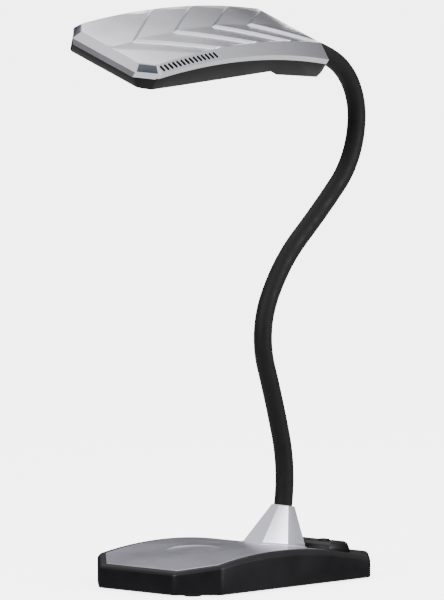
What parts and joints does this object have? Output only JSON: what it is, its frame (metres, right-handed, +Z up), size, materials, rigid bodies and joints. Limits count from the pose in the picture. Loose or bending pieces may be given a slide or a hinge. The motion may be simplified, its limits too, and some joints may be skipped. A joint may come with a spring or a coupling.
{
  "type": "document camera",
  "caption": "Desk document camera: weighted octagonal base with keys and ports, faceted collar, rubber-sleeved gooseneck, and a long arched camera head with lamps.",
  "frame": {"origin": "On the desk surface, under the middle of the base, where the feet rest.", "axes": "+Z up, -Y is the front, which the head reaches over, +X is to the right as seen from behind the front edge looking along +Y."},
  "size_m": [0.15, 0.3412, 0.5082],
  "materials": {
    "barrel_plastic": "ribbed, satin",
    "black_case": "fine moulded texture, satin",
    "black_shell": "fine moulded texture, satin",
    "circuit_board": "solder resist, satin",
    "dark_window": "smoked, satin",
    "ferrule_steel": "turned",
    "foot_rubber": "dull",
    "frosted_window": "frosted",
    "jack_plastic": "satin",
    "key_plastic": "soft satin",
    "lamp_board": "white solder resist",
    "led_chip": "phosphor",
    "lens_glass": "coated glass",
    "light_pipe": "clear green",
    "link_steel": "turned",
    "mic_capsule": "perforated cap",
    "plate_steel": "zinc plated, dull",
    "pod_plastic": "fine moulded texture, satin",
    "port_metal": "nickel plated",
    "post_brass": "turned",
    "ring_nylon": "natural nylon",
    "screw_black": "blackened",
    "screw_zinc": "zinc plated",
    "silver_collar": "silver metallic paint, satin",
    "silver_cover": "silver metallic paint, satin",
    "sleeve_rubber": "smooth, matte"
  },
  "bodies": {
    "base": {"base_housing": "black_case", "bottom_plate": "black_case", "top_cover": "silver_cover", "rubber_feet": "foot_rubber", "ballast_plate": "plate_steel", "main_board": "circuit_board", "board_posts": "post_brass", "board_screws": "screw_zinc", "case_screws": "screw_black", "control_pod": "pod_plastic", "key_board": "circuit_board", "status_light": "light_pipe", "neck_collar": "silver_collar", "neck_flange": "plate_steel", "flange_screws": "screw_zinc", "clamp_nut": "screw_zinc", "lower_ferrule": "ferrule_steel", "power_jack": "jack_plastic", "usb_port": "port_metal", "video_port": "port_metal", "lock_plate": "port_metal", "neck_sleeve_1": "sleeve_rubber"},
    "neck_1": {"neck_link_1": "link_steel", "neck_sleeve_2": "sleeve_rubber"},
    "neck_2": {"neck_link_2": "link_steel", "neck_sleeve_3": "sleeve_rubber"},
    "neck_3": {"neck_link_3": "link_steel", "neck_sleeve_4": "sleeve_rubber"},
    "neck_4": {"neck_link_4": "link_steel", "neck_sleeve_5": "sleeve_rubber"},
    "neck_5": {"neck_link_5": "link_steel", "neck_sleeve_6": "sleeve_rubber"},
    "neck_6": {"neck_link_6": "link_steel", "neck_sleeve_7": "sleeve_rubber"},
    "neck_7": {"neck_link_7": "link_steel", "neck_sleeve_8": "sleeve_rubber"},
    "neck_end": {"upper_ferrule": "ferrule_steel"},
    "head": {"swivel_ring": "ring_nylon", "neck_bracket": "plate_steel", "bracket_screws": "screw_zinc", "head_top_cover": "silver_cover", "head_lower_shell": "black_shell", "corner_window_left": "dark_window", "corner_window_right": "dark_window", "lens_barrel": "barrel_plastic", "lens_glass": "lens_glass", "sensor_board": "circuit_board", "lamp_board_front": "lamp_board", "lamp_board_rear": "lamp_board", "lamp_leds": "led_chip", "lamp_window_front": "frosted_window", "lamp_window_rear": "frosted_window", "microphone": "mic_capsule", "head_screws": "screw_black"},
    "power_key": {"power_button": "key_plastic"},
    "lamp_key": {"lamp_button": "key_plastic"},
    "zoom_out_key": {"zoom_out_button": "key_plastic"},
    "zoom_in_key": {"zoom_in_button": "key_plastic"},
    "freeze_key": {"freeze_button": "key_plastic"}
  },
  "joints": [
    {"name": "neck_joint_1", "type": "hinge", "parent": "base", "child": "neck_1", "pos_m": [0, 0.0651, 0.09305], "axis": [1, 0, 0], "range_deg": [-20, 20], "deforming": ["neck_sleeve_1"]},
    {"name": "neck_joint_2", "type": "hinge", "parent": "neck_1", "child": "neck_2", "pos_m": [0, 0.05134, 0.15574], "axis": [1, 0, 0], "range_deg": [-20, 20], "deforming": ["neck_sleeve_2"]},
    {"name": "neck_joint_3", "type": "hinge", "parent": "neck_2", "child": "neck_3", "pos_m": [0, 0.03722, 0.21805], "axis": [0, 0.9976, -0.0698], "range_deg": [-25, 25], "deforming": ["neck_sleeve_3"]},
    {"name": "neck_joint_4", "type": "hinge", "parent": "neck_3", "child": "neck_4", "pos_m": [0, 0.06315, 0.27589], "axis": [1, 0, 0], "range_deg": [-15, 20], "deforming": ["neck_sleeve_4"]},
    {"name": "neck_joint_5", "type": "hinge", "parent": "neck_4", "child": "neck_5", "pos_m": [0, 0.10986, 0.32002], "axis": [-1, 0, 0], "range_deg": [-20, 20], "deforming": ["neck_sleeve_5"]},
    {"name": "neck_joint_6", "type": "hinge", "parent": "neck_5", "child": "neck_6", "pos_m": [0, 0.15175, 0.36818], "axis": [0, 0.9135, -0.4067], "range_deg": [-25, 25], "deforming": ["neck_sleeve_6"]},
    {"name": "neck_joint_7", "type": "hinge", "parent": "neck_6", "child": "neck_7", "pos_m": [0, 0.15139, 0.43022], "axis": [-1, 0, 0], "range_deg": [-4, 20], "deforming": ["neck_sleeve_7"]},
    {"name": "neck_joint_8", "type": "hinge", "parent": "neck_7", "child": "neck_end", "pos_m": [0, 0.099, 0.46449], "axis": [-1, 0, 0], "range_deg": [-20, 20], "deforming": ["neck_sleeve_8"]},
    {"name": "head_swivel", "type": "hinge", "parent": "neck_end", "child": "head", "pos_m": [0, 0.06716, 0.46854], "axis": [0, -1, 0], "range_deg": [-70, 110]},
    {"name": "power_press", "type": "slide", "parent": "base", "child": "power_key", "axis": [0, 0, -1], "range_m": [0, 0.0008], "stiffness_N_per_m": 300},
    {"name": "lamp_press", "type": "slide", "parent": "base", "child": "lamp_key", "axis": [0, 0, -1], "range_m": [0, 0.0008], "stiffness_N_per_m": 300},
    {"name": "zoom_out_press", "type": "slide", "parent": "base", "child": "zoom_out_key", "axis": [0, 0, -1], "range_m": [0, 0.0008], "stiffness_N_per_m": 300},
    {"name": "zoom_in_press", "type": "slide", "parent": "base", "child": "zoom_in_key", "axis": [0, 0, -1], "range_m": [0, 0.0008], "stiffness_N_per_m": 300},
    {"name": "freeze_press", "type": "slide", "parent": "base", "child": "freeze_key", "axis": [0, 0, -1], "range_m": [0, 0.0008], "stiffness_N_per_m": 300}
  ]
}
